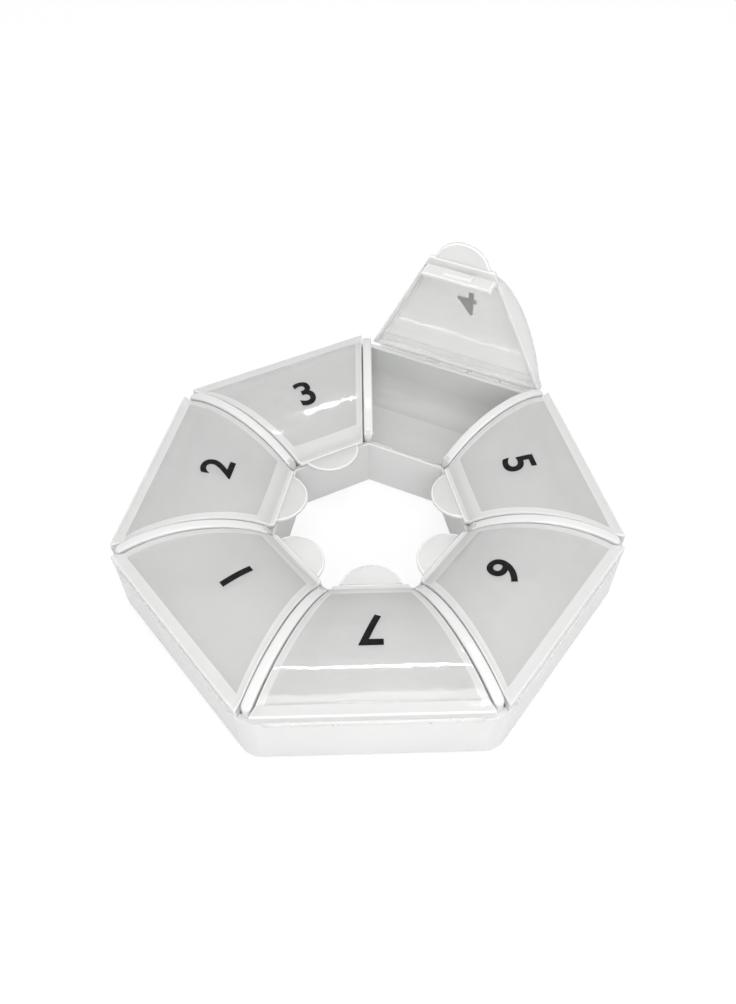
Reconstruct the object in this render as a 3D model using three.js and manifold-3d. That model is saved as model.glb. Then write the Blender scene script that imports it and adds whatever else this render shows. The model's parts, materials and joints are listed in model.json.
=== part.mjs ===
// Weekly pill box: a seven-sided ring of compartments round a finger hole, each with its own arched lid.
// Millimetres, +Z up. The lid of the fourth day stands open, the other six are closed.
import * as THREE from 'three';
import { mergeVertices } from 'three/addons/utils/BufferGeometryUtils.js';
import Module from 'manifold-3d';

// Days in order, clockwise seen from above. The sixth side after the first faces -Y.
const days = ['sunday', 'monday', 'tuesday', 'wednesday', 'thursday', 'friday', 'saturday'];
const openDay = 'wednesday';
const openAngle = 93;

// Ring
const ringRadius = 60;
const holeRadius = 23.1;
const rimHeight = 16.3;
const innerWallDrop = 2.3;
const cornerRadius = 6;
const footRadius = 1.5;

// Walls of the tray
const outerWall = 1.4;
const innerWall = 1.3;
const floorThickness = 1.4;
const innerFillet = 6;
const outerFillet = 7;
const partition = 2.3;
const partitionEndInset = 1.8;
const partitionProud = 0.3;
const partitionCoreShare = 1 / 4;

// Lids
const crownRise = 6.6;
const lidThickness = 1.2;
const lidSideWall = 1.1;
const lidOuterWall = 1.2;
const ledgeRise = 2.9;
const ledgeWidth = 2.6;
const lidLip = 1.2;
const lipWidth = 1.2;
const movingGap = 0.3;

// Skirt, latch and thumb tab at the free end of each lid
const skirtClearance = 0.9;
const skirtThickness = 1;
const skirtDepth = 4.3;
const latchWidth = 7.4;
const latchProud = 0.5;
const latchHeight = 2.8;
const latchTopClearance = 0.4;
const latchSideClearance = 0.4;
const latchPocketDepth = 0.5;
const tabReach = 5.4;
const tabRadius = 7.4;
const tabThickness = 1;

// Living hinge: a thin web that bulges outwards between the rim and the lid
const webWidth = 44;
const webInnerRadius = 0.2;
const webThickness = 0.3;
const webStandoff = 0.15;
const webHalfAngle = 60;
const webFoldShare = 1 / 3;

// One overrun for every cut, one for every joined piece, and the tolerance that welds vertices
const overrun = 20;
const embed = 0.4;
const weld = 0.0001;
const arcSegments = 12;
const cornerSegments = 4;

// Derived places
const sideCount = days.length;
const halfStep = Math.PI / sideCount;
const apothem = ringRadius * Math.cos(halfStep);
const holeApothem = holeRadius * Math.cos(halfStep);
const pocketInner = holeApothem + innerWall;
const pocketOuter = apothem - outerWall;
const hingeDistance = apothem + webStandoff;
const hingeHeight = rimHeight + movingGap / 2;
const lidBottom = rimHeight + movingGap;
const ledgeHeight = lidBottom + ledgeRise;
const crownHeight = rimHeight + crownRise;
const innerWallHeight = rimHeight - innerWallDrop;
const lipBottom = innerWallHeight + movingGap;
const lipTop = lipBottom + lidLip;
const partitionEnd = ringRadius - partitionEndInset;
const lidSideOffset = partition / 2 + movingGap;
const skirtInner = pocketInner + skirtClearance;
const skirtOuter = skirtInner + skirtThickness;
const top = crownHeight + overrun;

// The lid's arch rises from the end of the lip, over the crown, and falls to the edge of the ledge
const archInner = holeApothem + lipWidth;
const archOuter = apothem - ledgeWidth;
const innerDrop = crownHeight - lipTop;
const outerDrop = crownHeight - ledgeHeight;
const archRadius = archRadiusOver(archOuter - archInner, innerDrop, outerDrop);
const archCentreHeight = crownHeight - archRadius;
const crownDistance = archOuter - Math.sqrt(archRadius ** 2 - (archRadius - outerDrop) ** 2);

const wasm = await Module();
wasm.setup();

function toSolid(geometry) {
  const bare = geometry.clone();
  bare.deleteAttribute('normal');
  bare.deleteAttribute('uv');
  const merged = mergeVertices(bare, weld);
  return new wasm.Manifold(new wasm.Mesh({
    numProp: 3,
    vertProperties: new Float32Array(merged.attributes.position.array),
    triVerts: new Uint32Array(merged.index.array),
  }));
}

function toGeometry(solid) {
  const mesh = solid.getMesh();
  const geometry = new THREE.BufferGeometry();
  geometry.setAttribute('position', new THREE.BufferAttribute(new Float32Array(mesh.vertProperties), 3));
  geometry.setIndex(new THREE.BufferAttribute(new Uint32Array(mesh.triVerts), 1));
  geometry.computeVertexNormals();
  return geometry;
}

function outline(points) {
  return new THREE.Shape(points.map(([x, y]) => new THREE.Vector2(x, y)));
}

// A plan outline in x and y, extruded upwards from one height to another
function planPrism(shape, from, to) {
  const settings = { depth: to - from, bevelEnabled: false, curveSegments: cornerSegments };
  return toSolid(new THREE.ExtrudeGeometry(shape, settings).translate(0, 0, from));
}

// A profile in x (outwards) and z, extruded along y to both sides of the middle
function profilePrism(shape, width) {
  const settings = { depth: width, bevelEnabled: false, curveSegments: arcSegments };
  const geometry = new THREE.ExtrudeGeometry(shape, settings);
  return toSolid(geometry.rotateX(Math.PI / 2).translate(0, width / 2, 0));
}

// The wedge of one side between two distances from the centre, offset inwards from the corner planes
function wedge(near, far, offset) {
  const half = (distance) => distance * Math.tan(halfStep) - offset / Math.cos(halfStep);
  return outline([[near, -half(near)], [far, -half(far)], [far, half(far)], [near, half(near)]]);
}

function turned(solid, angle) {
  return toSolid(toGeometry(solid).rotateZ(angle));
}

function sideAzimuth(index) {
  const front = -Math.PI / 2;
  return front - (index + 1) * 2 * halfStep;
}

// Radius of the arc over a span whose two ends lie at different drops below its crown
function archRadiusOver(span, drop, otherDrop) {
  const difference = drop - otherDrop;
  const sum = span ** 2 + drop ** 2 - otherDrop ** 2;
  const square = 4 * difference ** 2;
  const linear = 4 * difference * sum + 8 * span ** 2 * otherDrop;
  const constant = sum ** 2 + 4 * span ** 2 * otherDrop ** 2;
  return 2 * constant / (linear + Math.sqrt(linear ** 2 - 4 * square * constant));
}

// Angles on the lid's outer arch, measured at its centre
function archAngleAtHeight(height, radius) {
  return Math.asin((height - archCentreHeight) / radius);
}

function archAngleAtDistance(distance, radius) {
  return Math.acos((distance - crownDistance) / radius);
}

function regularOutline(radius, rounding) {
  const shape = new THREE.Shape();
  const centre = radius - rounding / Math.cos(halfStep);
  for (let i = 0; i < sideCount; i += 1) {
    const angle = Math.PI / 2 + i * 2 * halfStep;
    if (rounding > 0) {
      shape.absarc(centre * Math.cos(angle), centre * Math.sin(angle), rounding,
        angle - halfStep, angle + halfStep, false);
    } else if (i === 0) {
      shape.moveTo(radius * Math.cos(angle), radius * Math.sin(angle));
    } else {
      shape.lineTo(radius * Math.cos(angle), radius * Math.sin(angle));
    }
  }
  return shape;
}

// Tray: outer body
function trayBlank() {
  const block = new THREE.ExtrudeGeometry(regularOutline(ringRadius, cornerRadius), {
    depth: rimHeight,
    bevelEnabled: true,
    bevelThickness: footRadius,
    bevelSize: footRadius,
    bevelOffset: -footRadius,
    bevelSegments: cornerSegments + 1,
    curveSegments: cornerSegments,
  });
  const aboveRim = planPrism(regularOutline(ringRadius + overrun, 0), rimHeight, top);
  return toSolid(block.translate(0, 0, footRadius)).subtract(aboveRim);
}

// Tray: one compartment, scooped where the floor meets the inner and the outer wall, with a core left to its
// neighbours that each partition then covers
function compartment() {
  const shape = new THREE.Shape();
  shape.moveTo(pocketOuter, top);
  shape.lineTo(pocketInner, top);
  shape.lineTo(pocketInner, floorThickness + innerFillet);
  shape.absarc(pocketInner + innerFillet, floorThickness + innerFillet, innerFillet,
    Math.PI, 1.5 * Math.PI, false);
  shape.absarc(pocketOuter - outerFillet, floorThickness + outerFillet, outerFillet,
    1.5 * Math.PI, 2 * Math.PI, false);
  shape.closePath();
  const reach = planPrism(wedge(holeApothem, ringRadius, partition * partitionCoreShare), 0, top + overrun);
  return profilePrism(shape, 2 * ringRadius).intersect(reach);
}

// Tray: one partition, rising to the arch of the lids, with round ends, along +X
function partitionRib() {
  const stretch = 1 / Math.cos(halfStep);
  const rise = archRadius + partitionProud;
  const start = pocketInner * stretch - partition / 2;
  const centre = crownDistance * stretch;
  const angleAt = (distance) => Math.acos((distance - centre) / (rise * stretch));
  const shape = new THREE.Shape();
  shape.moveTo(start - embed, floorThickness / 2);
  shape.lineTo(partitionEnd + embed, floorThickness / 2);
  shape.absellipse(centre, archCentreHeight, rise * stretch, rise,
    angleAt(partitionEnd + embed), angleAt(start - embed), false, 0);
  shape.closePath();
  const half = partition / 2;
  const plan = new THREE.Shape();
  plan.absarc(partitionEnd - half, 0, half, -Math.PI / 2, Math.PI / 2, false);
  plan.absarc(start + half, 0, half, Math.PI / 2, 1.5 * Math.PI, false);
  return profilePrism(shape, 2 * partition).intersect(planPrism(plan, 0, top));
}

// Tray: the recess in the inner wall that a lid's latch block drops into
function latchPocket() {
  const half = latchWidth / 2 + latchSideClearance;
  const near = pocketInner - latchPocketDepth;
  const bottom = innerWallHeight - latchTopClearance - latchHeight - skirtClearance;
  const plan = outline([[near, -half], [pocketInner + embed, -half], [pocketInner + embed, half], [near, half]]);
  return planPrism(plan, bottom, top);
}

function buildTray() {
  let tray = trayBlank().subtract(planPrism(regularOutline(holeRadius, 0), -overrun, top));
  const pocket = compartment();
  const rib = partitionRib();
  const recess = latchPocket();
  for (let i = 0; i < sideCount; i += 1) {
    tray = tray.subtract(turned(pocket, sideAzimuth(i)));
  }
  const innerTop = regularOutline((pocketInner + innerFillet) / Math.cos(halfStep), 0);
  tray = tray.subtract(planPrism(innerTop, innerWallHeight, top));
  for (let i = 0; i < sideCount; i += 1) {
    tray = tray.add(turned(rib, sideAzimuth(i) + halfStep)).subtract(turned(recess, sideAzimuth(i)));
  }
  return toGeometry(tray);
}

// Lid: outer skin, with the arch, the ledge over the hinge and the straight lower edge
function lidOutside() {
  const shape = new THREE.Shape();
  shape.moveTo(holeApothem, lipBottom);
  shape.lineTo(skirtOuter, lipBottom);
  shape.lineTo(apothem - lidOuterWall, lidBottom);
  shape.lineTo(apothem, lidBottom);
  shape.lineTo(apothem, ledgeHeight);
  shape.absarc(crownDistance, archCentreHeight, archRadius,
    archAngleAtHeight(ledgeHeight, archRadius), Math.PI - archAngleAtHeight(lipTop, archRadius), false);
  shape.lineTo(holeApothem, lipTop);
  shape.closePath();
  const plan = wedge(holeApothem - embed, apothem + embed, lidSideOffset);
  return profilePrism(shape, 2 * ringRadius).intersect(planPrism(plan, 0, top));
}

// Lid: the space under the skin, open downwards
function lidInside() {
  const radius = archRadius - lidThickness;
  const ledgeUnder = ledgeHeight - lidThickness;
  const shape = new THREE.Shape();
  shape.moveTo(skirtOuter, 0);
  shape.lineTo(apothem - lidOuterWall, 0);
  shape.lineTo(apothem - lidOuterWall, ledgeUnder);
  shape.absarc(crownDistance, archCentreHeight, radius,
    archAngleAtHeight(ledgeUnder, radius), archAngleAtDistance(skirtOuter, radius), false);
  shape.closePath();
  const plan = wedge(holeApothem, ringRadius, lidSideOffset + lidSideWall);
  return profilePrism(shape, 2 * ringRadius).intersect(planPrism(plan, -overrun, top));
}

// Lid: the cross wall that drops in behind the tray's inner wall
function lidSkirt() {
  const low = lipBottom - skirtDepth;
  const high = lipTop - embed / 2;
  const shape = outline([[skirtInner, low], [skirtOuter, low], [skirtOuter, high], [skirtInner, high]]);
  const plan = wedge(holeApothem, ringRadius, lidSideOffset + lidSideWall / 2);
  return profilePrism(shape, 2 * ringRadius).intersect(planPrism(plan, 0, top));
}

// Lid: the block in the middle of the skirt that clicks under the inner wall's edge
function lidLatch() {
  const high = innerWallHeight - latchTopClearance;
  const near = skirtInner - latchProud;
  const far = skirtInner + skirtThickness / 2;
  const low = high - latchHeight;
  const shape = outline([[near, low + latchProud], [skirtInner, low], [far, low], [far, high], [near, high]]);
  return profilePrism(shape, latchWidth);
}

// Lid: the half-round thumb tab over the finger hole
function lidTab() {
  const middle = (lipBottom + lipTop) / 2;
  const centre = holeApothem - tabReach + tabRadius;
  const root = holeApothem + embed;
  const spread = Math.acos((root - centre) / tabRadius);
  const plan = new THREE.Shape();
  plan.absarc(centre, 0, tabRadius, spread, 2 * Math.PI - spread, false);
  plan.closePath();
  const settings = { depth: tabThickness, bevelEnabled: false, curveSegments: arcSegments };
  const geometry = new THREE.ExtrudeGeometry(plan, settings);
  return toSolid(geometry.translate(0, 0, middle - tabThickness / 2));
}

function buildLid() {
  const shell = lidOutside().subtract(lidInside());
  const lid = shell.add(lidSkirt()).add(lidLatch()).add(lidTab());
  return toGeometry(lid).translate(-hingeDistance, 0, -hingeHeight);
}

// Hinge web: a thin arc round the hinge axis, along y, which folds up on the lid's side as the lid opens
function buildWeb(opening) {
  const middle = THREE.MathUtils.degToRad(-opening / 2);
  const half = THREE.MathUtils.degToRad(webHalfAngle - opening * webFoldShare);
  const shape = new THREE.Shape();
  shape.absarc(0, 0, webInnerRadius + webThickness, middle - half, middle + half, false);
  shape.absarc(0, 0, webInnerRadius, middle + half, middle - half, true);
  shape.closePath();
  return toGeometry(profilePrism(shape, webWidth));
}

function plastic(color, roughness) {
  return new THREE.MeshStandardMaterial({ color, roughness, metalness: 0, transparent: true, opacity: 0.8 });
}

const trayPlastic = plastic(0xd4d6d1, 0.35);
const lidPlastic = plastic(0xdee0dc, 0.28);
const webPlastic = plastic(0xe6e8e4, 0.4);

const ring = new THREE.Group();
const tray = new THREE.Mesh(buildTray(), trayPlastic);
tray.name = 'base_tray';
ring.add(tray);

const lidGeometry = buildLid();
days.forEach((day, index) => {
  const opening = day === openDay ? openAngle : 0;
  const side = new THREE.Group();
  side.rotation.z = sideAzimuth(index);
  const lid = new THREE.Mesh(lidGeometry, lidPlastic);
  lid.name = `lid_${day}`;
  lid.position.set(hingeDistance, 0, hingeHeight);
  lid.rotation.y = THREE.MathUtils.degToRad(opening);
  const web = new THREE.Mesh(buildWeb(opening), webPlastic);
  web.name = `hinge_web_${day}`;
  web.position.set(hingeDistance, 0, hingeHeight);
  side.add(lid, web);
  ring.add(side);
});

// The origin lies under the middle of the whole box, the open lid included
const group = new THREE.Group();
group.add(ring);
const bounds = new THREE.Box3().setFromObject(ring, true);
const middle = bounds.getCenter(new THREE.Vector3());
ring.position.set(-middle.x, -middle.y, -bounds.min.z);

export default group;
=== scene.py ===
"""Weekly pill box: a seven-sided ring of milky polypropylene compartments with arched lids on living hinges.

Sizes of the moulding are in millimetres, in a frame that stands on the ring's middle with +X out to one side.
Each piece is built there, then turned to its side and brought to metres in the frame's own place.
"""
import json
import math

import bmesh
import bpy
from mathutils import Matrix, Vector


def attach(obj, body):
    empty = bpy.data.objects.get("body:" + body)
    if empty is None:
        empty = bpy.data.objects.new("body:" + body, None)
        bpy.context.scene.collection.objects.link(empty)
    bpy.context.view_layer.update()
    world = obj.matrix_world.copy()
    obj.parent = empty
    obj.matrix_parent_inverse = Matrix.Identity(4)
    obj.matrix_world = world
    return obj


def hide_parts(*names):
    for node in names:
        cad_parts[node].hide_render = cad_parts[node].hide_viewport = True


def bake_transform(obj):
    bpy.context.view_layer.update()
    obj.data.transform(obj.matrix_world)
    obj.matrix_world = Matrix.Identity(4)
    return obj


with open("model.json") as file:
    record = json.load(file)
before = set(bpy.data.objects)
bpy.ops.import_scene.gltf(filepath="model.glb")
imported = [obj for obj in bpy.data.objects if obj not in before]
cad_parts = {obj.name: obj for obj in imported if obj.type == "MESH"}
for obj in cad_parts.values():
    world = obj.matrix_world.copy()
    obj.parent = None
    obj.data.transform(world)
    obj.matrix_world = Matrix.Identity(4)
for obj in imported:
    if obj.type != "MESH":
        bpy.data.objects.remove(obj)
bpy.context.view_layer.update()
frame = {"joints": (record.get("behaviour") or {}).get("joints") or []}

MM = 0.001

# Ring and tray, in millimetres
RING_RADIUS = 60
HOLE_RADIUS = 23.1
RIM_HEIGHT = 16.3
INNER_WALL_DROP = 2.3
CORNER_RADIUS = 6
FOOT_RADIUS = 1.5
OUTER_WALL = 1.4
INNER_WALL = 1.3
FLOOR = 1.4
INNER_FILLET = 6
OUTER_FILLET = 7
PARTITION = 2.3
PARTITION_END_INSET = 1.8
PARTITION_PROUD = 0.3

# Lids
CROWN_RISE = 6.6
LID_THICKNESS = 1.2
LID_SIDE_WALL = 1.1
LID_OUTER_WALL = 1.2
LEDGE_RISE = 2.9
LEDGE_WIDTH = 2.6
LID_LIP = 1.2
LIP_WIDTH = 1.2
MOVING_GAP = 0.3

# Skirt, latch and thumb tab
SKIRT_CLEARANCE = 0.9
SKIRT_THICKNESS = 1
SKIRT_DEPTH = 4.3
LATCH_WIDTH = 7.4
LATCH_PROUD = 0.5
LATCH_HEIGHT = 2.8
LATCH_TOP_CLEARANCE = 0.4
LATCH_SIDE_CLEARANCE = 0.4
LATCH_POCKET_DEPTH = 0.5
TAB_REACH = 5.4
TAB_RADIUS = 7.4
TAB_THICKNESS = 1

# Living hinge strips, whose ends are sunk into the walls
STRIP_WIDTH = 44
STRIP_BULGE = 0.4
STRIP_RISE = 0.75
STRIP_THICKNESS = 0.26
STRIP_TAPER = 1.6
STRIP_SINK = 0.2
STRIP_STEPS_ROUND = 16
STRIP_STEPS_ALONG = 24

# Rounded moulding edges, overlaps of joined pieces, overrun of cuts, and angles in degrees
EDGE_RADIUS = 0.3
LID_EDGE_RADIUS = 0.4
CREST_RADIUS = 0.5
EMBED = 0.4
WELD = 0.002
OVERRUN = 20
EDGE_ANGLE = 38
FLAT_ANGLE = 0.3
EDGE_STEPS = 4
ARC_STEPS = 44
FILLET_STEPS = 14
CORNER_STEPS = 8

# How pale places look, from none to full, and what counts as one: thick and rounded places by the plastic's
# own whiteness, with painted highlight, painted light and painted shade
PALE = "paleness"
# Rounded edges: partly the plastic's own whiteness, partly a painted highlight
EDGE_PALENESS_AND_HIGHLIGHT = 0.55
# Painted light on the tray's scoops and other inner faces, as if lit through the plastic
SCOOP_PAINTED_LIGHT = 0.15
FLOOR_PALENESS = 0.35
# Painted light on the partition walls, as if lit through the plastic
WALL_PAINTED_LIGHT = 0.25
CREST_PALENESS = 0.5
# The lid's side band over its wall is the plastic's own whiteness; the ledge is partly a painted highlight
LID_WALLS_PALE_AND_HIGHLIGHT = 0.35
SKIRT_PALENESS = 0.3
PALENESS_MARGIN = 0.002
SIDE_BAND = 1.6
WALL_FACING = 0.7

# Numbers on the lids
DIGIT_HEIGHT = 7.6
DIGIT_PLACE = 36.6
DIGIT_INK = 0.05
DIGIT_BOLD = 0.028
DIGIT_SLICE = 0.5
DIGIT_WELD = 0.001
DIGIT_CURVE_STEPS = 12
FONT_CAP_SHARE = 0.72

# Plastic and ink: noise as features per metre and detail, bumps in metres
NOISE_LOW, NOISE_HIGH = 0.3, 0.7
PLASTIC_IOR = 1.49
CLOUD_NOISE = (55, 3)
GLOSS_NOISE = (160, 3)
WAVE_NOISE = (230, 2)
WAVE_STRENGTH = 1
GRAIN_NOISE = (2600, 1)
GRAIN_STRENGTH = 0.35
GRAIN_DEPTH = 0.00002
# The colour that pale places mix towards: the plastic's own whiteness, and painted highlight and painted
# light
PALE_COLOUR = (0.985, 0.985, 0.985)
PALE_CLEAR_SHARE = 0.2
INK_DARK = (0.004, 0.004, 0.005)
INK_LIGHT = (0.012, 0.012, 0.013)
INK_GLOSS = (0.32, 0.5)
INK_SPECULAR = 0.1
INK_CLOUD_NOISE = (900, 4)
INK_GLOSS_NOISE = (700, 3)
INK_GRAIN_NOISE = (3000, 2)
INK_GRAIN_STRENGTH = 0.3

# Camera: angles in degrees, distance, target and sensor in millimetres, clipping in metres
CAMERA_ELEVATION = 50.72
CAMERA_AZIMUTH = -3.39
CAMERA_ROLL = 1.72
CAMERA_DISTANCE = 217.6
CAMERA_TARGET = (7.68, 8.67, 8)
FOCAL_PIXELS = 869.5
CENTRE_PIXEL = 400.3
PICTURE_WIDTH, PICTURE_HEIGHT = 736, 1004
SENSOR = 36
CLIP_START = 0.01

# White surroundings, in metres
WHITE = (1, 1, 1, 1)
WORLD_STRENGTH = 0.79
FLOOR_RADIUS = 3
FLOOR_DROP = 0.0003
FLOOR_STEPS = 96
FLOOR_COLOUR = (0.7, 0.7, 0.7, 1)
FLOOR_GLOW = 1.1
FLOOR_WHITE_SEEN = 0.75
FLOOR_WHITE_MIRRORED = 0.2
BOUNCES = 20
TRANSPARENT_BOUNCES = 32

# Worked out from the sizes above and the number of hinges. STRETCH is a corner's distance over its side's.
SIDES = len(frame["joints"])
HALF_STEP = math.pi / SIDES
STRETCH = 1 / math.cos(HALF_STEP)
APOTHEM = RING_RADIUS / STRETCH
HOLE_APOTHEM = HOLE_RADIUS / STRETCH
POCKET_INNER = HOLE_APOTHEM + INNER_WALL
POCKET_OUTER = APOTHEM - OUTER_WALL
INNER_WALL_HEIGHT = RIM_HEIGHT - INNER_WALL_DROP
LID_BOTTOM = RIM_HEIGHT + MOVING_GAP
LEDGE_HEIGHT = LID_BOTTOM + LEDGE_RISE
CROWN_HEIGHT = RIM_HEIGHT + CROWN_RISE
LIP_BOTTOM = INNER_WALL_HEIGHT + MOVING_GAP
LIP_TOP = LIP_BOTTOM + LID_LIP
PARTITION_END = RING_RADIUS - PARTITION_END_INSET
LID_SIDE_OFFSET = PARTITION / 2 + MOVING_GAP
SKIRT_INNER = POCKET_INNER + SKIRT_CLEARANCE
SKIRT_OUTER = SKIRT_INNER + SKIRT_THICKNESS
TOP = CROWN_HEIGHT + OVERRUN

# Directions along a side, and along and square to the plane through its corner
SIDEWAYS = Vector((0, 1, 0))
CORNER_ALONG = Vector((math.cos(HALF_STEP), math.sin(HALF_STEP), 0))
CORNER_ACROSS = Vector((math.sin(HALF_STEP), -math.cos(HALF_STEP), 0))


def arch_radius_over(span, drop, other_drop):
    """Radius of the arc over a span whose two ends lie at different drops below its crown."""
    difference = drop - other_drop
    total = span ** 2 + drop ** 2 - other_drop ** 2
    square = 4 * difference ** 2
    linear = 4 * difference * total + 8 * span ** 2 * other_drop
    constant = total ** 2 + 4 * span ** 2 * other_drop ** 2
    return 2 * constant / (linear + math.sqrt(linear ** 2 - 4 * square * constant))


ARCH_INNER = HOLE_APOTHEM + LIP_WIDTH
ARCH_OUTER = APOTHEM - LEDGE_WIDTH
OUTER_DROP = CROWN_HEIGHT - LEDGE_HEIGHT
ARCH_RADIUS = arch_radius_over(ARCH_OUTER - ARCH_INNER, CROWN_HEIGHT - LIP_TOP, OUTER_DROP)
ARCH_CENTRE_HEIGHT = CROWN_HEIGHT - ARCH_RADIUS
CROWN_DISTANCE = ARCH_OUTER - math.sqrt(ARCH_RADIUS ** 2 - (ARCH_RADIUS - OUTER_DROP) ** 2)

# The hinges give the ring's middle, the side that each lid belongs to, and how far it stands open
ring_x = sum(joint["pos_m"][0] for joint in frame["joints"]) / SIDES
ring_y = sum(joint["pos_m"][1] for joint in frame["joints"]) / SIDES


def hinge_of(joint):
    """Azimuth of the joint's side, and its hinge's distance and height in millimetres."""
    x, y, z = joint["pos_m"]
    return math.atan2(y - ring_y, x - ring_x), math.hypot(x - ring_x, y - ring_y) / MM, z / MM


def opening_of(joint):
    """The angle in radians by which the lid stands open at rest."""
    return math.radians(-joint["range_deg"][0])


def placement(azimuth=0.0):
    """From the millimetre frame of the side at an azimuth to the row frame."""
    place = Matrix.Translation((ring_x, ring_y, 0))
    return place @ Matrix.Rotation(azimuth, 4, "Z") @ Matrix.Scale(MM, 4)


def opened(joint):
    """The lid's turn about its hinge from closed to where it rests, in the side's millimetre frame."""
    _, distance, height = hinge_of(joint)
    hinge = Matrix.Translation((distance, 0, height))
    return hinge @ Matrix.Rotation(opening_of(joint), 4, "Y") @ hinge.inverted()


# Mesh building

def add_object(name, data):
    made = bpy.data.objects.new(name, data)
    bpy.context.scene.collection.objects.link(made)
    return made


def reworked(mesh, change):
    """Hands a mesh to a function that changes it as a bmesh."""
    work = bmesh.new()
    work.from_mesh(mesh)
    change(work)
    work.to_mesh(mesh)
    work.free()
    return mesh


def mesh_object(name, points, faces):
    """An object of these points and faces, all faces turned outwards."""
    mesh = bpy.data.meshes.new(name)
    mesh.from_pydata([tuple(p) for p in points], [], faces)
    mesh.validate()
    reworked(mesh, lambda work: bmesh.ops.recalc_face_normals(work, faces=work.faces))
    return add_object(name, mesh)


def bands(rings):
    """The points of several rings, and the faces that join each ring to the next."""
    count = len(rings[0])
    faces = []
    for k in range(len(rings) - 1):
        for i in range(count):
            j = (i + 1) % count
            faces.append([k * count + i, k * count + j, (k + 1) * count + j, (k + 1) * count + i])
    return [p for ring in rings for p in ring], faces


def loft(name, rings):
    """A closed solid through rings of points, all with as many points."""
    points, faces = bands(rings)
    count = len(rings[0])
    caps = [list(range(count)), list(range(len(points) - count, len(points)))]
    return mesh_object(name, points, caps + faces)


def plan_prism(name, outline, low, high):
    """An upright prism over an outline in plan."""
    return loft(name, [[(x, y, z) for x, y in outline] for z in (low, high)])


def profile_prism(name, outline, width):
    """A prism along the side, with an outline of distances and heights as its section."""
    return loft(name, [[(x, y, z) for x, z in outline] for y in (-width / 2, width / 2)])


def arc(x, z, radius, start, end, steps):
    """Points of an arc, from one angle in radians to another."""
    angles = [start + (end - start) * i / steps for i in range(steps + 1)]
    return [(x + radius * math.cos(a), z + radius * math.sin(a)) for a in angles]


def quarter_turn(steps):
    """Angles in even steps from zero to a right angle."""
    return [math.pi / 2 * k / steps for k in range(steps + 1)]


def settled(piece):
    """Applies the piece's modifiers."""
    graph = bpy.context.evaluated_depsgraph_get()
    old = piece.data
    piece.data = bpy.data.meshes.new_from_object(piece.evaluated_get(graph))
    piece.modifiers.clear()
    bpy.data.meshes.remove(old)
    return piece


def combine(piece, tool, operation):
    """Cuts the piece with a tool, or adds the tool to it, and takes the tool away."""
    cut = piece.modifiers.new(operation, "BOOLEAN")
    cut.solver = "EXACT"
    cut.operation = operation
    cut.object = tool
    settled(piece)
    bpy.data.objects.remove(tool)
    return piece


def side_block(name, profile, near, far, offset):
    """A profile drawn across a whole side, between two distances and drawn in from the corner planes."""
    def half(distance):
        return distance * math.tan(HALF_STEP) - offset * STRETCH
    plan = [(near, -half(near)), (far, -half(far)), (far, half(far)), (near, half(near))]
    tool = plan_prism("plan", plan, -OVERRUN, TOP + OVERRUN)
    return combine(profile_prism(name, profile, 2 * RING_RADIUS), tool, "INTERSECT")


def half_side():
    """A block round the half of one side with y above zero, up to the corner plane."""
    near, far = HOLE_APOTHEM - OVERRUN / 2, RING_RADIUS
    slope = math.tan(HALF_STEP)
    return plan_prism("half", [(near, 0), (far, 0), (far, far * slope), (near, near * slope)], -OVERRUN, TOP)


def copied(source):
    return add_object(source.name, source.data.copy())


def joined(name, pieces):
    """One object that holds the meshes of several, welded where they meet."""
    work = bmesh.new()
    for piece in pieces:
        work.from_mesh(piece.data)
        bpy.data.objects.remove(piece)
    bmesh.ops.remove_doubles(work, verts=work.verts, dist=WELD)
    mesh = bpy.data.meshes.new(name)
    work.to_mesh(mesh)
    work.free()
    return add_object(name, mesh)


def mirrored(name, piece):
    """The piece and its mirror image across the middle of its side."""
    other = copied(piece)
    other.data.transform(Matrix.Scale(-1, 4, SIDEWAYS))
    other.data.flip_normals()
    return joined(name, [piece, other])


def turned(piece, azimuth):
    piece.data.transform(Matrix.Rotation(azimuth, 4, "Z"))
    return piece


def all_round(name, pattern):
    """The same piece at each side of the ring."""
    made = joined(name, [turned(copied(pattern), i * 2 * HALF_STEP) for i in range(SIDES)])
    bpy.data.objects.remove(pattern)
    return made


def peel(piece, normal):
    """Takes away the faces in a plane through the ring's axis, so that the edges there stay sharp."""
    def change(work):
        flat = [f for f in work.faces if all(abs(v.co.dot(normal)) < WELD for v in f.verts)]
        bmesh.ops.delete(work, geom=flat, context="FACES")
    reworked(piece.data, change)


def clean(work):
    """Welds what a cut left double and dissolves the flat seams."""
    bmesh.ops.remove_doubles(work, verts=work.verts, dist=WELD)
    bmesh.ops.dissolve_degenerate(work, edges=work.edges, dist=WELD)
    bmesh.ops.dissolve_limit(work, angle_limit=math.radians(FLAT_ANGLE), verts=work.verts, edges=work.edges)


def split(work, place, normal):
    """Splits the faces that cross a plane."""
    everything = work.verts[:] + work.edges[:] + work.faces[:]
    bmesh.ops.bisect_plane(work, geom=everything, plane_co=place, plane_no=normal)


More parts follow.
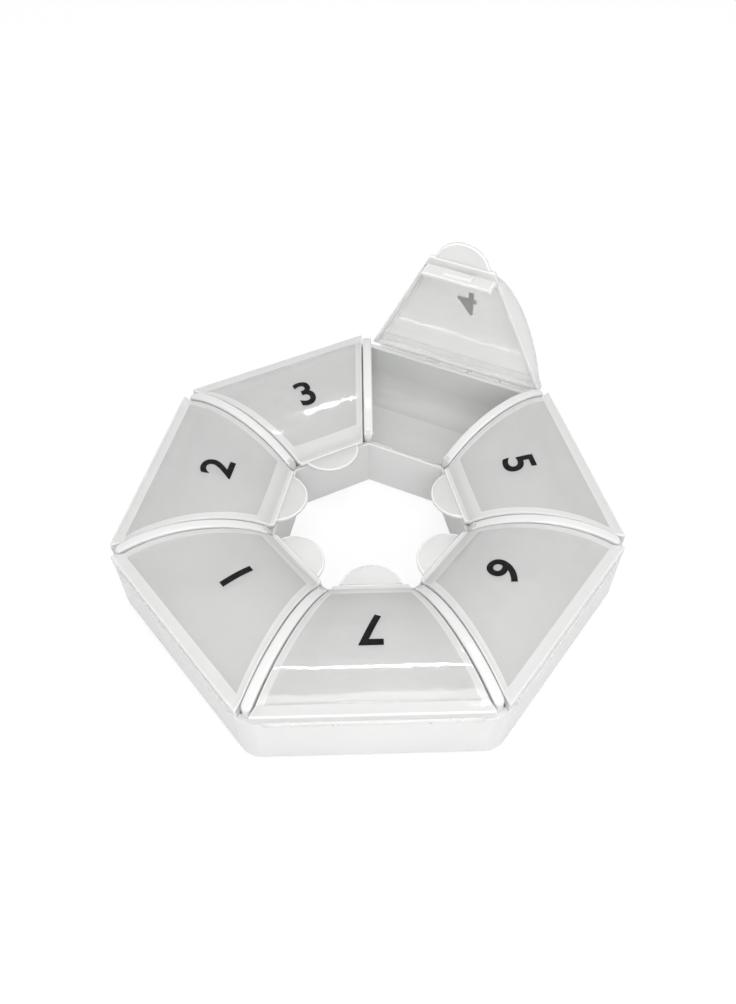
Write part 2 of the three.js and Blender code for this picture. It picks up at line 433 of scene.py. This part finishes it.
def round_edges(piece, radius, spared=lambda middle: False):
    """Rounds the sharp outer edges as a mould does, but for those that are spared, and makes them pale:
    partly the plastic's own whiteness, partly a painted highlight.
    """
    def weigh(work):
        weight = work.edges.layers.float.new("bevel_weight_edge")
        for edge in work.edges:
            sharp = edge.is_manifold and edge.is_convex and edge.calc_face_angle() > math.radians(EDGE_ANGLE)
            middle = (edge.verts[0].co + edge.verts[1].co) / 2
            edge[weight] = float(sharp and not spared(middle))
    reworked(piece.data, clean)
    reworked(piece.data, weigh)
    bevel = piece.modifiers.new("edges", "BEVEL")
    bevel.width = radius
    bevel.segments = EDGE_STEPS
    bevel.limit_method = "WEIGHT"
    bevel.use_clamp_overlap = False
    bevel.loop_slide = False
    # The second of two empty material slots marks the rounded faces
    bevel.material = 1
    for _ in range(2):
        piece.data.materials.append(None)
    settled(piece)
    piece.data.attributes.remove(piece.data.attributes["bevel_weight_edge"])
    pale = piece.data.attributes.new(PALE, "FLOAT", "FACE")
    for face in piece.data.polygons:
        pale.data[face.index].value = EDGE_PALENESS_AND_HIGHLIGHT * face.material_index
        face.material_index = 0
    piece.data.materials.clear()


def make_pale(piece, amount, chosen):
    """Notes how pale the chosen faces look, and leaves the rounded edges as pale as they are."""
    pale = piece.data.attributes[PALE].data
    for face in piece.data.polygons:
        if pale[face.index].value < EDGE_PALENESS_AND_HIGHLIGHT - PALENESS_MARGIN and chosen(face):
            pale[face.index].value = amount


def shaded(piece):
    """Smooth shading, with each face's own area as its weight."""
    piece.data.shade_smooth()
    piece.data.set_sharp_from_angle(angle=math.radians(EDGE_ANGLE))
    piece.modifiers.new("normals", "WEIGHTED_NORMAL").keep_sharp = True
    return settled(piece)


# Tray

def ring_outline(radius, rounding, inset):
    """A heptagon with round corners, drawn in by an inset, with a side across +X."""
    centre = radius - rounding * STRETCH
    reach = rounding - inset
    points = []
    for i in range(SIDES):
        corner = (2 * i + 1) * HALF_STEP
        for k in range(CORNER_STEPS + 1):
            angle = corner - HALF_STEP + 2 * HALF_STEP * k / CORNER_STEPS
            points.append((centre * math.cos(corner) + reach * math.cos(angle),
                           centre * math.sin(corner) + reach * math.sin(angle)))
    return points


def heptagon(radius):
    angles = [(2 * i + 1) * HALF_STEP for i in range(SIDES)]
    return [(radius * math.cos(a), radius * math.sin(a)) for a in angles]


def tray_blank():
    """The outside of the tray: a round foot and upright sides."""
    turns = quarter_turn(FILLET_STEPS)
    levels = [(FOOT_RADIUS * (1 - math.sin(a)), FOOT_RADIUS * (1 - math.cos(a))) for a in turns]
    levels.append((0, RIM_HEIGHT))
    rings = []
    for inset, z in levels:
        rings.append([(x, y, z) for x, y in ring_outline(RING_RADIUS, CORNER_RADIUS, inset)])
    return loft("tray", rings)


def pocket():
    """One compartment, scooped where its floor meets the inner and the outer wall."""
    profile = [(POCKET_OUTER, TOP), (POCKET_INNER, TOP)]
    profile += arc(POCKET_INNER + INNER_FILLET, FLOOR + INNER_FILLET, INNER_FILLET,
                   math.pi, 1.5 * math.pi, FILLET_STEPS)
    profile += arc(POCKET_OUTER - OUTER_FILLET, FLOOR + OUTER_FILLET, OUTER_FILLET,
                   1.5 * math.pi, 2 * math.pi, FILLET_STEPS)
    return side_block("pocket", profile, HOLE_APOTHEM, RING_RADIUS, PARTITION / 2)


def partition_rib():
    """The top of one partition along +X, with a round crest that follows the lids' arch, and round ends."""
    rise = ARCH_RADIUS + PARTITION_PROUD
    half = PARTITION / 2
    near = POCKET_INNER * STRETCH
    far = PARTITION_END - half
    turns = quarter_turn(CORNER_STEPS)

    def outline(inset):
        """Points out along one long side and back along the other, drawn in by an inset."""
        reach = half - inset
        line = [(near - reach * math.cos(a), reach * math.sin(a)) for a in turns]
        line += [(near + (far - near) * k / ARC_STEPS, reach) for k in range(1, ARC_STEPS)]
        line += [(far + reach * math.cos(a), reach * math.sin(a)) for a in reversed(turns)]
        return line + [(x, -y) for x, y in reversed(line[1:-1])]

    def crest(x):
        share = (x - CROWN_DISTANCE * STRETCH) / (rise * STRETCH)
        return ARCH_CENTRE_HEIGHT + rise * math.sin(math.acos(share))
    rings = [[(x, y, INNER_WALL_HEIGHT - EMBED) for x, y in outline(0)]]
    for a in quarter_turn(EDGE_STEPS):
        drop = CREST_RADIUS * (1 - math.sin(a))
        rings.append([(x, y, crest(x) - drop) for x, y in outline(CREST_RADIUS * (1 - math.cos(a)))])
    points, faces = bands(rings)
    count = len(rings[0])
    faces.append(list(range(count)))
    top = len(points) - count
    for i in range(count // 2):
        corners = dict.fromkeys([i, i + 1, count - i - 1, (count - i) % count])
        faces.append([top + corner for corner in corners])
    return mesh_object("rib", points, faces)


def latch_pocket():
    """The recess in the inner wall that a lid's latch block drops into."""
    half = LATCH_WIDTH / 2 + LATCH_SIDE_CLEARANCE
    near, far = POCKET_INNER - LATCH_POCKET_DEPTH, POCKET_INNER + EMBED
    bottom = INNER_WALL_HEIGHT - LATCH_TOP_CLEARANCE - LATCH_HEIGHT - SKIRT_CLEARANCE
    return plan_prism("recess", [(near, -half), (far, -half), (far, half), (near, half)], bottom, TOP)


def at_rib_end(middle):
    """Where a round end of a rib leaves only a sliver of the rim."""
    near_end = middle.dot(CORNER_ALONG) > PARTITION_END - PARTITION
    return near_end and middle.dot(CORNER_ACROSS) < PARTITION / 2 + WELD


def build_tray():
    """Half of one side is cut and rounded, then mirrored and set round the ring."""
    tray = combine(tray_blank(), half_side(), "INTERSECT")
    combine(tray, plan_prism("hole", heptagon(HOLE_RADIUS), -OVERRUN, TOP), "DIFFERENCE")
    combine(tray, pocket(), "DIFFERENCE")
    inner_top = plan_prism("inner_top", heptagon((POCKET_INNER + EMBED) * STRETCH), INNER_WALL_HEIGHT, TOP)
    combine(tray, inner_top, "DIFFERENCE")
    combine(tray, combine(turned(partition_rib(), HALF_STEP), half_side(), "INTERSECT"), "UNION")
    combine(tray, latch_pocket(), "DIFFERENCE")
    peel(tray, SIDEWAYS)
    peel(tray, CORNER_ACROSS)
    round_edges(tray, EDGE_RADIUS, at_rib_end)
    # Painted light on the scoops and the other inner faces
    make_pale(tray, SCOOP_PAINTED_LIGHT, lambda face: True)
    make_pale(tray, FLOOR_PALENESS, lambda face: face.center.z < FLOOR + WELD)
    # Painted shade: the inner wall's faces get no paleness and stay darkest
    make_pale(tray, 0, lambda face: face.center.x < POCKET_INNER + WELD)
    # Painted light on the partition walls
    make_pale(tray, WALL_PAINTED_LIGHT, lambda face: abs(face.normal.dot(CORNER_ACROSS)) > WALL_FACING)
    near, far = HOLE_APOTHEM + WELD, APOTHEM - OUTER_WALL / 2
    make_pale(tray, CREST_PALENESS, lambda face: not near < face.center.x < far)
    make_pale(tray, CREST_PALENESS, lambda face: not WELD <= face.center.z <= RIM_HEIGHT - WELD)
    return shaded(all_round("tray", mirrored("tray", tray)))


# Lids

def angle_at_height(height, radius):
    """Angle at which an arc about the arch's centre reaches a height."""
    return math.asin((height - ARCH_CENTRE_HEIGHT) / radius)


def lid_outside():
    profile = [(HOLE_APOTHEM, LIP_BOTTOM), (SKIRT_OUTER, LIP_BOTTOM), (APOTHEM - LID_OUTER_WALL, LID_BOTTOM),
               (APOTHEM, LID_BOTTOM), (APOTHEM, LEDGE_HEIGHT)]
    start = angle_at_height(LEDGE_HEIGHT, ARCH_RADIUS)
    end = math.pi - angle_at_height(LIP_TOP, ARCH_RADIUS)
    profile += arc(CROWN_DISTANCE, ARCH_CENTRE_HEIGHT, ARCH_RADIUS, start, end, ARC_STEPS)
    profile.append((HOLE_APOTHEM, LIP_TOP))
    return side_block("lid", profile, HOLE_APOTHEM - EMBED, APOTHEM + EMBED, LID_SIDE_OFFSET)


def lid_inside():
    radius = ARCH_RADIUS - LID_THICKNESS
    under = LEDGE_HEIGHT - LID_THICKNESS
    profile = [(SKIRT_OUTER, 0), (APOTHEM - LID_OUTER_WALL, 0), (APOTHEM - LID_OUTER_WALL, under)]
    start = angle_at_height(under, radius)
    end = math.acos((SKIRT_OUTER - CROWN_DISTANCE) / radius)
    profile += arc(CROWN_DISTANCE, ARCH_CENTRE_HEIGHT, radius, start, end, ARC_STEPS)
    return side_block("inside", profile, HOLE_APOTHEM, RING_RADIUS, LID_SIDE_OFFSET + LID_SIDE_WALL)


def lid_skirt():
    low, high = LIP_BOTTOM - SKIRT_DEPTH, LIP_TOP - EMBED / 2
    profile = [(SKIRT_INNER, low), (SKIRT_OUTER, low), (SKIRT_OUTER, high), (SKIRT_INNER, high)]
    return side_block("skirt", profile, HOLE_APOTHEM, RING_RADIUS, LID_SIDE_OFFSET + LID_SIDE_WALL / 2)


def lid_latch():
    high = INNER_WALL_HEIGHT - LATCH_TOP_CLEARANCE
    low = high - LATCH_HEIGHT
    near, far = SKIRT_INNER - LATCH_PROUD, SKIRT_INNER + SKIRT_THICKNESS / 2
    profile = [(near, low + LATCH_PROUD), (SKIRT_INNER, low), (far, low), (far, high), (near, high)]
    return profile_prism("latch", profile, LATCH_WIDTH)


def lid_tab():
    middle = (LIP_BOTTOM + LIP_TOP) / 2
    centre = HOLE_APOTHEM - TAB_REACH + TAB_RADIUS
    spread = math.acos((HOLE_APOTHEM + EMBED - centre) / TAB_RADIUS)
    plan = arc(centre, 0, TAB_RADIUS, spread, 2 * math.pi - spread, ARC_STEPS)
    return plan_prism("tab", plan, middle - TAB_THICKNESS / 2, middle + TAB_THICKNESS / 2)


def build_lid():
    """One lid, closed, in the frame of its side: half of it is cut and rounded, then mirrored."""
    lid = combine(lid_outside(), lid_inside(), "DIFFERENCE")
    for piece in (lid_skirt(), lid_latch(), lid_tab()):
        combine(lid, piece, "UNION")
    combine(lid, half_side(), "INTERSECT")
    peel(lid, SIDEWAYS)
    round_edges(lid, LID_EDGE_RADIUS)
    band = LID_SIDE_OFFSET + SIDE_BAND
    reworked(lid.data, lambda work: split(work, CORNER_ACROSS * band, CORNER_ACROSS))
    make_pale(lid, LID_WALLS_PALE_AND_HIGHLIGHT, lambda face: face.center.dot(CORNER_ACROSS) < band)
    # The ledge is pale partly from the thick outer wall under it and partly as a painted highlight
    make_pale(lid, LID_WALLS_PALE_AND_HIGHLIGHT, lambda face: face.center.x > ARCH_OUTER)
    make_pale(lid, SKIRT_PALENESS, lambda face: HOLE_APOTHEM < face.center.x < SKIRT_OUTER + LATCH_PROUD)
    return shaded(mirrored("lid", lid))


# Living hinge strips

def eased(share):
    """A share of the way from 0 to 1 that starts and ends gently."""
    return share * share * (3 - 2 * share)


def build_strip(joint):
    """A thin strip that bulges out round the hinge from the rim to the lid, and the middles of its two ends.

    Where the lid rests open, each point turns with it by its share of the way from the rim to the lid.
    """
    azimuth, distance, height = hinge_of(joint)

    def point(u, v, side):
        """The point at a share along and a share round: outside (1), in the middle (0) or inside (-1)."""
        theta = math.pi * (v - 0.5)
        y = (u - 0.5) * STRIP_WIDTH
        end = min(1.0, (STRIP_WIDTH / 2 - abs(y)) / STRIP_TAPER)
        bulge = STRIP_BULGE * math.sqrt(max(0.0, 1 - (1 - end) ** 2))
        reach = side * STRIP_THICKNESS / 2
        dx = APOTHEM - STRIP_SINK + (STRIP_SINK + bulge + reach) * math.cos(theta) - distance
        dz = (STRIP_RISE + reach) * math.sin(theta)
        turn = opening_of(joint) * eased((1 + math.sin(theta)) / 2)
        return (distance + dx * math.cos(turn) + dz * math.sin(turn), y,
                height - dx * math.sin(turn) + dz * math.cos(turn))
    around = [k / STRIP_STEPS_ROUND for k in range(STRIP_STEPS_ROUND + 1)]
    rings = []
    for i in range(STRIP_STEPS_ALONG + 1):
        u = i / STRIP_STEPS_ALONG
        rings.append([point(u, v, 1) for v in around] + [point(u, v, -1) for v in reversed(around)])
    strip = loft("strip", rings)
    place = placement(azimuth)
    strip.data.transform(place)
    ends = [place @ Vector(point(0.5, v, 0)) for v in (0, 1)]
    return strip, ends


# Numbers

def flat_digit(text):
    """A number as a flat mesh, its foot on the X axis."""
    curve = bpy.data.curves.new("digit", "FONT")
    curve.body = text
    curve.align_x = "CENTER"
    curve.size = DIGIT_HEIGHT / FONT_CAP_SHARE
    curve.offset = DIGIT_BOLD * DIGIT_HEIGHT
    curve.resolution_u = DIGIT_CURVE_STEPS
    writing = add_object("digit", curve)
    graph = bpy.context.evaluated_depsgraph_get()
    mesh = bpy.data.meshes.new_from_object(writing.evaluated_get(graph))
    bpy.data.objects.remove(writing)
    return mesh


def lay_on_arch(work):
    """Slices a flat number, makes it as thick as its ink and bends it over the arch, its head to the rim."""
    bmesh.ops.remove_doubles(work, verts=work.verts, dist=DIGIT_WELD)
    low = min(v.co.y for v in work.verts)
    high = max(v.co.y for v in work.verts)
    for k in range(1, int((high - low) / DIGIT_SLICE) + 1):
        split(work, (0, low + k * DIGIT_SLICE, 0), SIDEWAYS)
    for v in work.verts:
        v.co.z = -DIGIT_INK
    raised = bmesh.ops.extrude_face_region(work, geom=work.faces[:])
    for v in raised["geom"]:
        if isinstance(v, bmesh.types.BMVert):
            v.co.z = DIGIT_INK
    middle = (low + high) / 2
    start = math.acos((DIGIT_PLACE - CROWN_DISTANCE) / ARCH_RADIUS)
    for v in work.verts:
        angle = start - (v.co.y - middle) / ARCH_RADIUS
        reach = ARCH_RADIUS + v.co.z
        x, z = CROWN_DISTANCE + reach * math.cos(angle), ARCH_CENTRE_HEIGHT + reach * math.sin(angle)
        v.co = (x, -v.co.x, z)
    bmesh.ops.recalc_face_normals(work, faces=work.faces)


def build_digit(text):
    """A number in a thin coat of ink on a closed lid, in the frame of its side."""
    return shaded(add_object("digit", reworked(flat_digit(text), lay_on_arch)))


# Materials

def node(tree, kind, **values):
    made = tree.nodes.new(kind)
    for key, value in values.items():
        setattr(made, key, value)
    return made


def new_material(name):
    material = bpy.data.materials.new(name)
    material.use_nodes = True
    tree = material.node_tree
    tree.nodes.clear()
    return material, tree, tree.nodes.new("ShaderNodeOutputMaterial")


def noise(tree, scale, detail):
    """Noise over the piece's own place, in features per metre."""
    place = node(tree, "ShaderNodeTexCoord")
    made = node(tree, "ShaderNodeTexNoise")
    made.inputs["Scale"].default_value = scale
    made.inputs["Detail"].default_value = detail
    tree.links.new(place.outputs["Object"], made.inputs["Vector"])
    return made.outputs["Fac"]


def ramp(tree, kind, low, high):
    """Maps a kind of noise to a range of values."""
    made = node(tree, "ShaderNodeMapRange")
    made.inputs["From Min"].default_value = NOISE_LOW
    made.inputs["From Max"].default_value = NOISE_HIGH
    made.inputs["To Min"].default_value = low
    made.inputs["To Max"].default_value = high
    tree.links.new(noise(tree, *kind), made.inputs["Value"])
    return made.outputs["Result"]


def clouded(tree, kind, dark, light):
    """A colour that drifts between two with a kind of noise."""
    made = node(tree, "ShaderNodeMix", data_type="RGBA")
    made.inputs["A"].default_value = (*dark, 1)
    made.inputs["B"].default_value = (*light, 1)
    tree.links.new(ramp(tree, kind, 0, 1), made.inputs["Factor"])
    return made.outputs["Result"]


def bump(tree, kind, strength, depth):
    """The relief of a kind of noise."""
    made = node(tree, "ShaderNodeBump")
    made.inputs["Strength"].default_value = strength
    made.inputs["Distance"].default_value = depth
    tree.links.new(noise(tree, *kind), made.inputs["Height"])
    return made


def plastic(name, light, dark, clear, gloss, wave):
    """Milky polypropylene: a cloudy colour made paler by the paleness attribute, which holds the plastic's
    own whiteness at thick places and edges and also painted highlight, painted light and painted shade; a
    gloss that varies and slight waves.
    """
    material, tree, out = new_material(name)
    shader = node(tree, "ShaderNodeBsdfPrincipled")
    shader.inputs["IOR"].default_value = PLASTIC_IOR
    paleness = node(tree, "ShaderNodeAttribute", attribute_name=PALE)
    # Mixes in the pale colour: the plastic's own whiteness with painted highlight, painted light and painted
    # shade
    haze_and_painted_light = node(tree, "ShaderNodeMix", data_type="RGBA")
    haze_and_painted_light.inputs["B"].default_value = (*PALE_COLOUR, 1)
    tree.links.new(clouded(tree, CLOUD_NOISE, dark, light), haze_and_painted_light.inputs["A"])
    tree.links.new(paleness.outputs["Fac"], haze_and_painted_light.inputs["Factor"])
    tree.links.new(haze_and_painted_light.outputs["Result"], shader.inputs["Base Color"])
    clearness = node(tree, "ShaderNodeMapRange")
    clearness.inputs["To Min"].default_value = clear
    clearness.inputs["To Max"].default_value = PALE_CLEAR_SHARE * clear
    tree.links.new(paleness.outputs["Fac"], clearness.inputs["Value"])
    tree.links.new(clearness.outputs["Result"], shader.inputs["Transmission Weight"])
    tree.links.new(ramp(tree, GLOSS_NOISE, *gloss), shader.inputs["Roughness"])
    waves = bump(tree, WAVE_NOISE, WAVE_STRENGTH, wave)
    grain = bump(tree, GRAIN_NOISE, GRAIN_STRENGTH, GRAIN_DEPTH)
    tree.links.new(waves.outputs["Normal"], grain.inputs["Normal"])
    tree.links.new(grain.outputs["Normal"], shader.inputs["Normal"])
    tree.links.new(shader.outputs["BSDF"], out.inputs["Surface"])
    return material


def ink():
    """Black pad print with a faint unevenness."""
    material, tree, out = new_material("number_ink")
    shader = node(tree, "ShaderNodeBsdfPrincipled")
    shader.inputs["Specular IOR Level"].default_value = INK_SPECULAR
    tree.links.new(clouded(tree, INK_CLOUD_NOISE, INK_DARK, INK_LIGHT), shader.inputs["Base Color"])
    tree.links.new(ramp(tree, INK_GLOSS_NOISE, *INK_GLOSS), shader.inputs["Roughness"])
    grain = bump(tree, INK_GRAIN_NOISE, INK_GRAIN_STRENGTH, GRAIN_DEPTH)
    tree.links.new(grain.outputs["Normal"], shader.inputs["Normal"])
    tree.links.new(shader.outputs["BSDF"], out.inputs["Surface"])
    return material


TRAY_PLASTIC = plastic("tray_plastic", light=(0.8, 0.81, 0.795), dark=(0.76, 0.77, 0.755), clear=0.4,
                       gloss=(0.12, 0.2), wave=0.00001)
LID_PLASTIC = plastic("lid_plastic", light=(0.96, 0.965, 0.955), dark=(0.935, 0.94, 0.93), clear=0.66,
                      gloss=(0.02, 0.05), wave=0.00009)
WEB_PLASTIC = plastic("web_plastic", light=(0.92, 0.925, 0.915), dark=(0.89, 0.895, 0.885), clear=0.4,
                      gloss=(0.25, 0.35), wave=0.00001)
INK = ink()


def finished(piece, name, material):
    """Names the piece and gives it its only material."""
    piece.name = name
    piece.data.name = name
    piece.data.materials.clear()
    piece.data.materials.append(material)
    return piece


# Pieces on their bodies

def dress_tray():
    tray = finished(build_tray(), "tray_moulding", TRAY_PLASTIC)
    azimuth, _, _ = hinge_of(frame["joints"][0])
    tray.data.transform(placement(azimuth))
    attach(tray, "tray")
    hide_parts("base_tray")


def dress_lids():
    pattern = build_lid()
    for number, joint in enumerate(frame["joints"], 1):
        day = joint["name"].removesuffix("_hinge")
        azimuth, _, _ = hinge_of(joint)
        lid_place = placement(azimuth) @ opened(joint)
        lid = finished(copied(pattern), f"lid_moulding_{day}", LID_PLASTIC)
        lid.data.transform(lid_place)
        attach(lid, joint["child"])
        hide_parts(f"lid_{day}")
        strip, ends = build_strip(joint)
        shaded(finished(strip, f"hinge_strip_{day}", WEB_PLASTIC))
        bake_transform(strip)
        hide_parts(f"hinge_web_{day}")
        digit = finished(build_digit(str(number)), f"number_{number}", INK)
        digit.data.transform(lid_place)
        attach(digit, joint["child"])
    bpy.data.objects.remove(pattern)


# Studio

def add_camera():
    """The photo's camera, turned about the target on the box."""
    elevation, azimuth, roll = (math.radians(a) for a in (CAMERA_ELEVATION, CAMERA_AZIMUTH, CAMERA_ROLL))
    back = Vector((math.sin(azimuth) * math.cos(elevation), -math.cos(azimuth) * math.cos(elevation),
                   math.sin(elevation)))
    right = Vector((0, 0, 1)).cross(back).normalized()
    up = back.cross(right)
    rolled_right = math.cos(roll) * right + math.sin(roll) * up
    rolled_up = math.cos(roll) * up - math.sin(roll) * right
    matrix = Matrix((rolled_right, rolled_up, back)).transposed().to_4x4()
    matrix.translation = placement() @ Vector(CAMERA_TARGET) + back * CAMERA_DISTANCE * MM
    lens = bpy.data.cameras.new("camera")
    lens.sensor_width = SENSOR
    lens.lens = SENSOR * FOCAL_PIXELS / PICTURE_HEIGHT
    lens.shift_x = (PICTURE_WIDTH / 2 - CENTRE_PIXEL) / PICTURE_HEIGHT
    lens.clip_start = CLIP_START
    camera = add_object("camera", lens)
    camera.matrix_world = matrix
    bpy.context.scene.camera = camera


def add_lamp(name, direction, distance, width, height, power):
    """A lamp that looks at the box from a direction, its sizes in metres and its power in watts."""
    lamp = bpy.data.lights.new(name, "AREA")
    lamp.shape = "RECTANGLE"
    lamp.size = width
    lamp.size_y = height
    lamp.energy = power
    towards = Vector(direction).normalized()
    made = add_object(name, lamp)
    made.location = towards * distance
    made.rotation_mode = "QUATERNION"
    made.rotation_quaternion = (-towards).to_track_quat("-Z", "Y")


def seen_white(tree, lit, white, share, mirrored_share):
    """Mixes white into what the camera sees, and into what gloss and clear plastic show.

    The light that falls on the box stays as it is.
    """
    path = node(tree, "ShaderNodeLightPath")
    seen = None
    for ray, amount in (("Is Camera Ray", share), ("Is Glossy Ray", mirrored_share),
                        ("Is Transmission Ray", mirrored_share)):
        part = node(tree, "ShaderNodeMath", operation="MULTIPLY")
        part.inputs[1].default_value = amount
        tree.links.new(path.outputs[ray], part.inputs[0])
        if seen:
            most = node(tree, "ShaderNodeMath", operation="MAXIMUM")
            tree.links.new(seen, most.inputs[0])
            tree.links.new(part.outputs["Value"], most.inputs[1])
            part = most
        seen = part.outputs["Value"]
    mixed = node(tree, "ShaderNodeMixShader")
    tree.links.new(seen, mixed.inputs["Fac"])
    tree.links.new(lit, mixed.inputs[1])
    tree.links.new(white, mixed.inputs[2])
    return mixed.outputs["Shader"]


def add_world():
    """Even light from all round, seen as plain white."""
    world = bpy.data.worlds.new("studio")
    bpy.context.scene.world = world
    world.use_nodes = True
    tree = world.node_tree
    tree.nodes.clear()
    light, white = (node(tree, "ShaderNodeBackground") for _ in range(2))
    light.inputs["Strength"].default_value = WORLD_STRENGTH
    for background in (light, white):
        background.inputs["Color"].default_value = WHITE
    seen = seen_white(tree, light.outputs["Background"], white.outputs["Background"], 1, 1)
    out = node(tree, "ShaderNodeOutputWorld")
    tree.links.new(seen, out.inputs["Surface"])


def add_floor():
    """A wide white floor just under the box, which shows its shadow."""
    material, tree, out = new_material("floor_white")
    shader = node(tree, "ShaderNodeBsdfDiffuse")
    shader.inputs["Color"].default_value = FLOOR_COLOUR
    white = node(tree, "ShaderNodeEmission")
    white.inputs["Strength"].default_value = FLOOR_GLOW
    seen = seen_white(tree, shader.outputs["BSDF"], white.outputs["Emission"], FLOOR_WHITE_SEEN,
                      FLOOR_WHITE_MIRRORED)
    tree.links.new(seen, out.inputs["Surface"])
    angles = [2 * math.pi * i / FLOOR_STEPS for i in range(FLOOR_STEPS)]
    rim = [(FLOOR_RADIUS * math.cos(a), FLOOR_RADIUS * math.sin(a), -FLOOR_DROP) for a in angles]
    floor = mesh_object("floor", rim, [list(range(FLOOR_STEPS))])
    floor.data.materials.append(material)


def add_studio():
    add_camera()
    add_world()
    add_floor()
    add_lamp("ceiling_lamp", direction=(0, -0.05, 1), distance=0.7, width=0.3, height=0.018, power=0.9)
    add_lamp("corner_lamp", direction=(0.2, 0.2, 0.97), distance=0.7, width=0.08, height=0.03, power=0.25)
    add_lamp("window_lamp", direction=(-0.6, -0.78, 0.08), distance=0.7, width=0.5, height=0.03, power=0.2)
    add_lamp("front_lamp", direction=(0.1, -0.75, 0.65), distance=0.32, width=0.2, height=0.2, power=0.4)
    scene = bpy.context.scene
    scene.view_settings.view_transform = "Standard"
    scene.cycles.transparent_max_bounces = TRANSPARENT_BOUNCES
    scene.cycles.max_bounces = BOUNCES
    scene.cycles.transmission_bounces = BOUNCES


dress_tray()
dress_lids()
add_studio()
